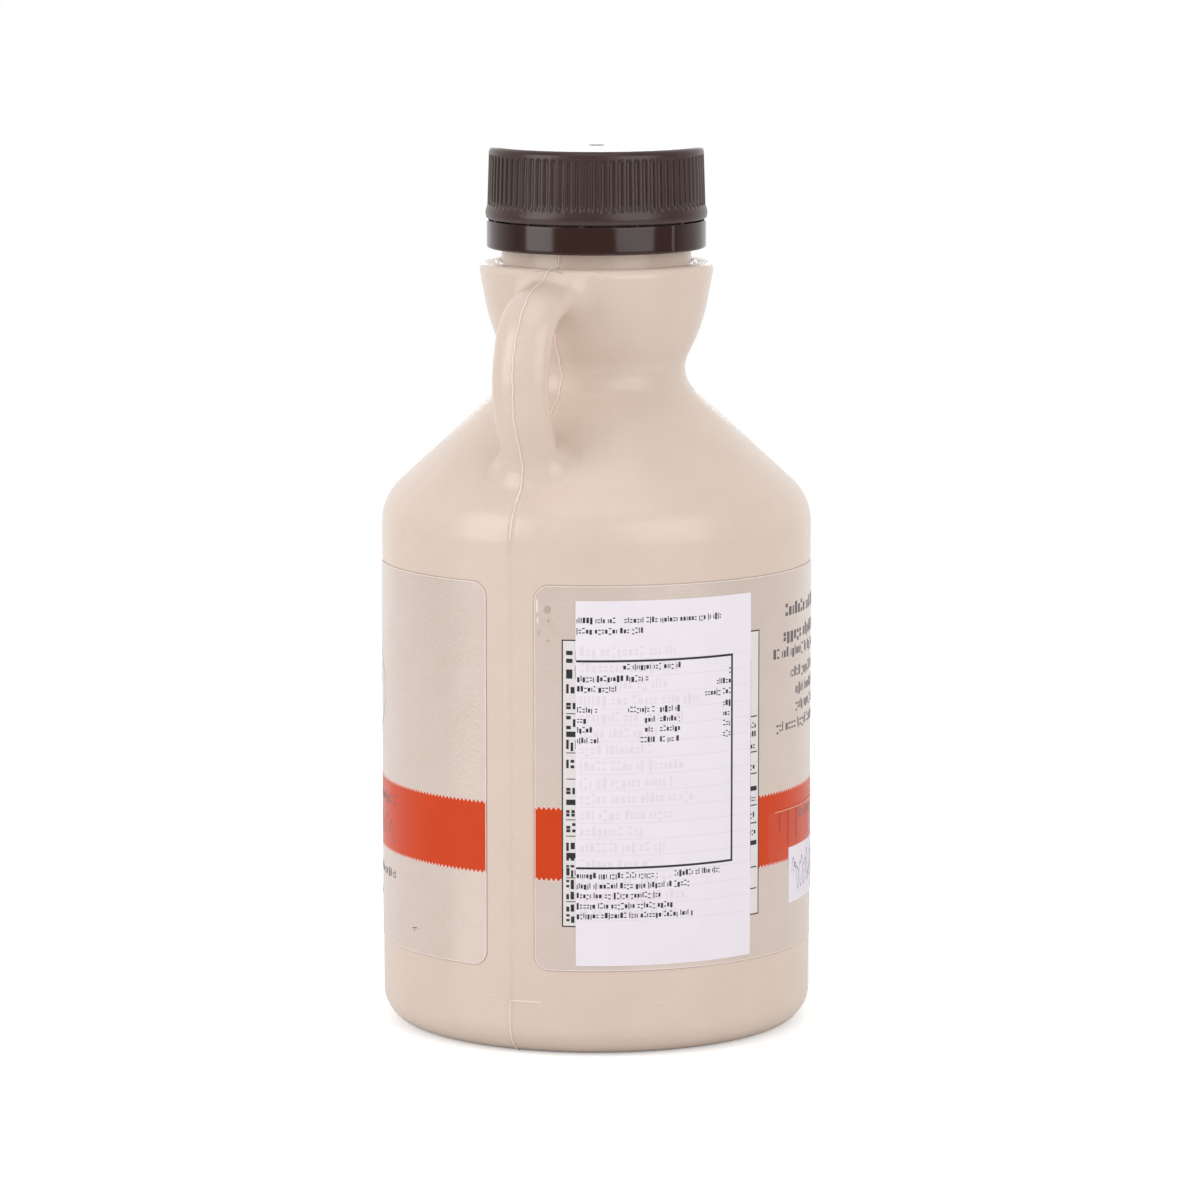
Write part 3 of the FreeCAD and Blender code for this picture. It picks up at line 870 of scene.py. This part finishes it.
# The pale panel under the large sticker, of which a strip shows on either side
inked("panel", FILM_FACE + 0.008, [bar(9.9, 49.6, 24.4, 77.2)], PANEL_INK)
panel = outline(9.9, 49.6, 24.4, 77.2, 0.22)
for middle, size in ((74.5, 2.4), (71.1, 2.4), (68.1, 1.7), (65.2, 1.7), (62.1, 2.0), (57.9, 1.7),
                     (54.75, 1.7), (49.6, 1.7), (45.5, 1.7), (42.6, 1.7), (39.5, 1.7), (36.3, 1.4),
                     (34.5, 1.4), (32.3, 1.4), (30.1, 1.4), (27.8, 1.3), (26.0, 1.3)):
    panel += words(dice, 10.7, 13.5, middle, size, 1.6)
panel += [bar(10.7, 13, low, low + 1.0) for low in (59.4, 46.9, 37.1)]
panel += [bar(10.7, 13, low, low + 0.16) for low in (63.6, 56.4, 51.6, 44.1, 41.1, 33.4, 29.0)]
panel += [bar(47.1, 47.35, 34.4, 72)] + [bar(47.2, 49.0, low, low + 0.85) for low in (47.5, 37.4)]
for low in (61.2, 54.6, 50.6, 44.7, 41.4, 33.2, 29.2):
    panel.append(bar(47.4, 49.0, low, low + 0.22))
for middle in (59.6, 58.0, 55.8, 52.0, 46.0, 43.0, 39.9):
    panel += words(dice, 47.3, 48.7, middle, 1.0)
inked("panel_print", FILM_FACE + 0.016, panel, BLACK_INK)

# The large sticker: two lines at its top, a table that is open on its left, and five lines below it
info = [bar(12.5, 42.8, 73.1, 73.5), bar(12.5, 42.8, 35.1, 35.5), bar(42.4, 42.8, 35.1, 73.5)]
for start, end, middle in ((12.6, 19.8, 80.7), (21.2, 40.4, 80.7), (12.6, 24.6, 78.8), (21.0, 32.4, 72.2),
                           (12.7, 25.6, 70.1), (12.7, 20.0, 68.2), (41.9, 42.4, 70.4), (39.2, 42.4, 68.6),
                           (36.7, 42.4, 66.7), (12.6, 27.4, 33.9), (30.6, 39.9, 33.9), (12.6, 33.8, 32.0),
                           (12.6, 28.1, 30.2), (12.6, 30.4, 28.3), (12.6, 34.2, 26.5)):
    info += words(dice, start, end, middle, 1.0)
for middle, left, value in ((64.35, 16.6, 21.9), (62.5, 14.4, 25.0), (60.7, 15.9, 25.0), (58.75, 16.6, 24.2)):
    info += words(dice, 12.7, left, middle, 1.0) + words(dice, value, 26.8, middle, 1.0)
    info += words(dice, 27.8, 31.6, middle, 1.0) + words(dice, 40.6, 42.4, middle + 0.15, 1.0)
inked("info_print", PAPER_FACE, info, BLACK_INK)

# What lies under the large sticker shows through it, only just
ghost = []
for middle in np.arange(27, 76, 3.0):
    ghost += words(dice, 13.2, 30 + dice.uniform(-6, 8), middle, 1.7, 1.3)
    ghost.append(bar(13, 46.6, middle - 1.5, middle - 1.35))
inked("ghost_print", PAPER_FACE - 0.008, ghost, GHOST_INK)

# Lines of words beside it, set about one middle, and a short one on the orange band
address = []
for start, middle, size in ((57.4, 75.0, 2.3), (58.1, 79.6, 2.3)):
    address += words(dice, start, 142 - start, middle, size, 1.5)
for start, middle in ((53.9, 71.8), (60.3, 67.8), (62.6, 64.5), (62.7, 61.5), (55.0, 58.2)):
    address += words(dice, start, 142 - start, middle, 1.8)
inked("address_print", FILM_FACE, address, GREY_INK)
inked("band_print", FILM_FACE + 0.01, words(dice, 64.8, 77.2, 41.0, 1.9), GREY_INK)

# The small sticker's pen line; on the tape over it, a painted highlight along its top edge and painted shade
# lines at its creases
inked("pen_line", PAPER_FACE, [
    stroke(60.9, 78.6, 30.2, ((2.5, 3.9), (0.9, 1.7)), 0.34),
    stroke(61.5, 77.9, 29.8, ((2.1, 5.3), (0.6, 2.3)), 0.26)], PEN_INK)
inked("tape_top_highlight", PAPER_FACE + TAPE, [bar(54.2, 86.5, 42.45, 42.58)], TAPE_HIGHLIGHT_PAINT)
inked("tape_crease_shade", PAPER_FACE + TAPE, [
    bar(59.3, 59.5, 36.0, 42.3), bar(63.1, 63.35, 36.4, 42.4), bar(56.1, 56.25, 38.8, 42.3),
    bar(69.8, 70.0, 35.6, 42.4)], CREASE_SHADE_PAINT)

# The front: an oval rule round two lines of large blocks, and small lines on and under the band
turn = np.linspace(0, 2 * math.pi, 121)
middle = HALF_TURN * 1.5
front = []
for half in (np.arange(61), np.arange(60, 121)):
    arcs = middle + 24.5 * np.cos(turn[half])
    heights = 63 + 12 * np.sin(turn[half])
    front.append((arcs, heights - 0.14, heights + 0.14))
front += words(dice, middle - 19, middle + 19, 66.0, 5.0) + words(dice, middle - 15, middle + 15, 58.6, 3.6)
front += words(dice, middle - 31.5, middle + 31.5, 29.3, 1.5)
front += words(dice, middle - 20, middle + 20, 24.5, 1.9)
inked("front_print", FILM_FACE, front, GREY_INK)
on_band = words(dice, middle - 31.6, middle + 31.6, 43.2, 1.6)
on_band.append(stroke(middle - 30.8, middle + 30.8, 38.0, ((1.5, 3.1), (0.9, 7.9)), 0.45))
inked("front_band_print", FILM_FACE + 0.01, on_band, GREY_INK)


# ---- Studio --------------------------------------------------------------
# A white floor and surroundings, two tall soft lamps beside the camera, one behind, one above, and the
# camera itself.

def look_at(holder, place, towards):
    """Puts a lamp or camera at a place and turns it towards a point."""
    from mathutils import Vector
    holder.location = place
    holder.rotation_euler = (Vector(towards) - Vector(place)).to_track_quat("-Z", "Y").to_euler()


CAMERA_TURN = math.radians(23.14)
camera_data = bpy.data.cameras.new("camera")
camera_data.sensor_width = 36
camera_data.lens = 182.475
camera = bpy.data.objects.new("camera", camera_data)
bpy.context.scene.collection.objects.link(camera)
bpy.context.scene.camera = camera
camera.location = (1.12676 * math.cos(CAMERA_TURN) - 0.000667 * math.sin(CAMERA_TURN),
                   1.12676 * math.sin(CAMERA_TURN) + 0.000667 * math.cos(CAMERA_TURN), 0.23806)
camera.rotation_euler = (math.radians(90 - 8.044), 0, CAMERA_TURN + math.pi / 2)


def soft_lamp(name, turn, distance, height, width, tall, power):
    """A tall soft lamp at an angle round Z from the camera's direction, facing the jug."""
    data = bpy.data.lights.new(name, "AREA")
    data.shape = "RECTANGLE"
    data.size, data.size_y = width, tall
    data.energy = power
    lamp = bpy.data.objects.new(name, data)
    bpy.context.scene.collection.objects.link(lamp)
    angle = CAMERA_TURN + math.radians(turn)
    look_at(lamp, (distance * math.cos(angle), distance * math.sin(angle), height), (0, 0, 0.08))


soft_lamp("lamp_left", -62, 0.62, 0.32, 0.4, 0.56, 1.8)
soft_lamp("lamp_right", 41, 0.62, 0.32, 0.52, 0.56, 1.7)
soft_lamp("lamp_back", 180, 0.9, 0.32, 0.45, 0.26, 1.1)
soft_lamp("lamp_top", 0, 0.2, 0.95, 0.6, 0.6, 0.9)


def white_world():
    """A white world to the camera and behind the jug, darker on the camera's side in reflections.

    Both the light that it gives to surfaces and what glossy surfaces show of it fall from behind the
    jug to the camera's side, the second from white to dim.
    """
    world = bpy.data.worlds.new("studio")
    bpy.context.scene.world = world
    world.use_nodes = True
    nodes, links = world.node_tree.nodes, world.node_tree.links
    background = nodes["Background"]
    background.inputs["Color"].default_value = (1, 1, 1, 1)
    path = nodes.new("ShaderNodeLightPath")
    place = nodes.new("ShaderNodeTexCoord")
    facing = nodes.new("ShaderNodeVectorMath")
    facing.operation = "DOT_PRODUCT"
    facing.inputs[1].default_value = (math.cos(CAMERA_TURN), math.sin(CAMERA_TURN), 0)
    links.new(place.outputs["Generated"], facing.inputs[0])
    glossy = nodes.new("ShaderNodeMix")
    links.new(path.outputs["Is Glossy Ray"], glossy.inputs[0])
    for socket, behind, start, end, front in ((2, 0.95, -0.8, 0.6, 0.51), (3, 1.0, -0.87, -0.05, 0.14)):
        fall = nodes.new("ShaderNodeMapRange")
        fall.inputs["From Min"].default_value = start
        fall.inputs["From Max"].default_value = end
        fall.inputs["To Min"].default_value = behind
        fall.inputs["To Max"].default_value = front
        links.new(facing.outputs["Value"], fall.inputs["Value"])
        links.new(fall.outputs["Result"], glossy.inputs[socket])
    clear = nodes.new("ShaderNodeMath")
    clear.operation = "MAXIMUM"
    links.new(path.outputs["Is Camera Ray"], clear.inputs[0])
    links.new(path.outputs["Is Transmission Ray"], clear.inputs[1])
    seen = nodes.new("ShaderNodeMix")
    seen.inputs[3].default_value = 1.0
    links.new(clear.outputs[0], seen.inputs[0])
    links.new(glossy.outputs[0], seen.inputs[2])
    links.new(seen.outputs[0], background.inputs["Strength"])


def white_floor():
    """A round pale floor that shows as white to the camera, but keeps the soft shadow of the jug.

    In what glossy surfaces show of it, it is polished and mirrors the lamps.
    """
    mesh = bpy.data.meshes.new("floor")
    turns = np.linspace(0, 2 * math.pi, 97)[:-1]
    rim = [(0.5 * math.cos(turn), 0.5 * math.sin(turn), 0) for turn in turns]
    mesh.from_pydata(rim, [], [list(range(96))])
    floor = bpy.data.objects.new("floor", mesh)
    bpy.context.scene.collection.objects.link(floor)
    material, nodes, links, shader = new_material("floor", 0.12)
    shader.inputs["Base Color"].default_value = (0.8, 0.8, 0.8, 1)
    path = nodes.new("ShaderNodeLightPath")
    links.new(path.outputs["Is Camera Ray"], shader.inputs["Emission Strength"])
    links.new(path.outputs["Is Glossy Ray"], shader.inputs["Specular IOR Level"])
    shader.inputs["Emission Color"].default_value = (0.4, 0.4, 0.4, 1)
    mesh.materials.append(material)


white_world()
white_floor()
bpy.context.scene.view_settings.view_transform = "Standard"
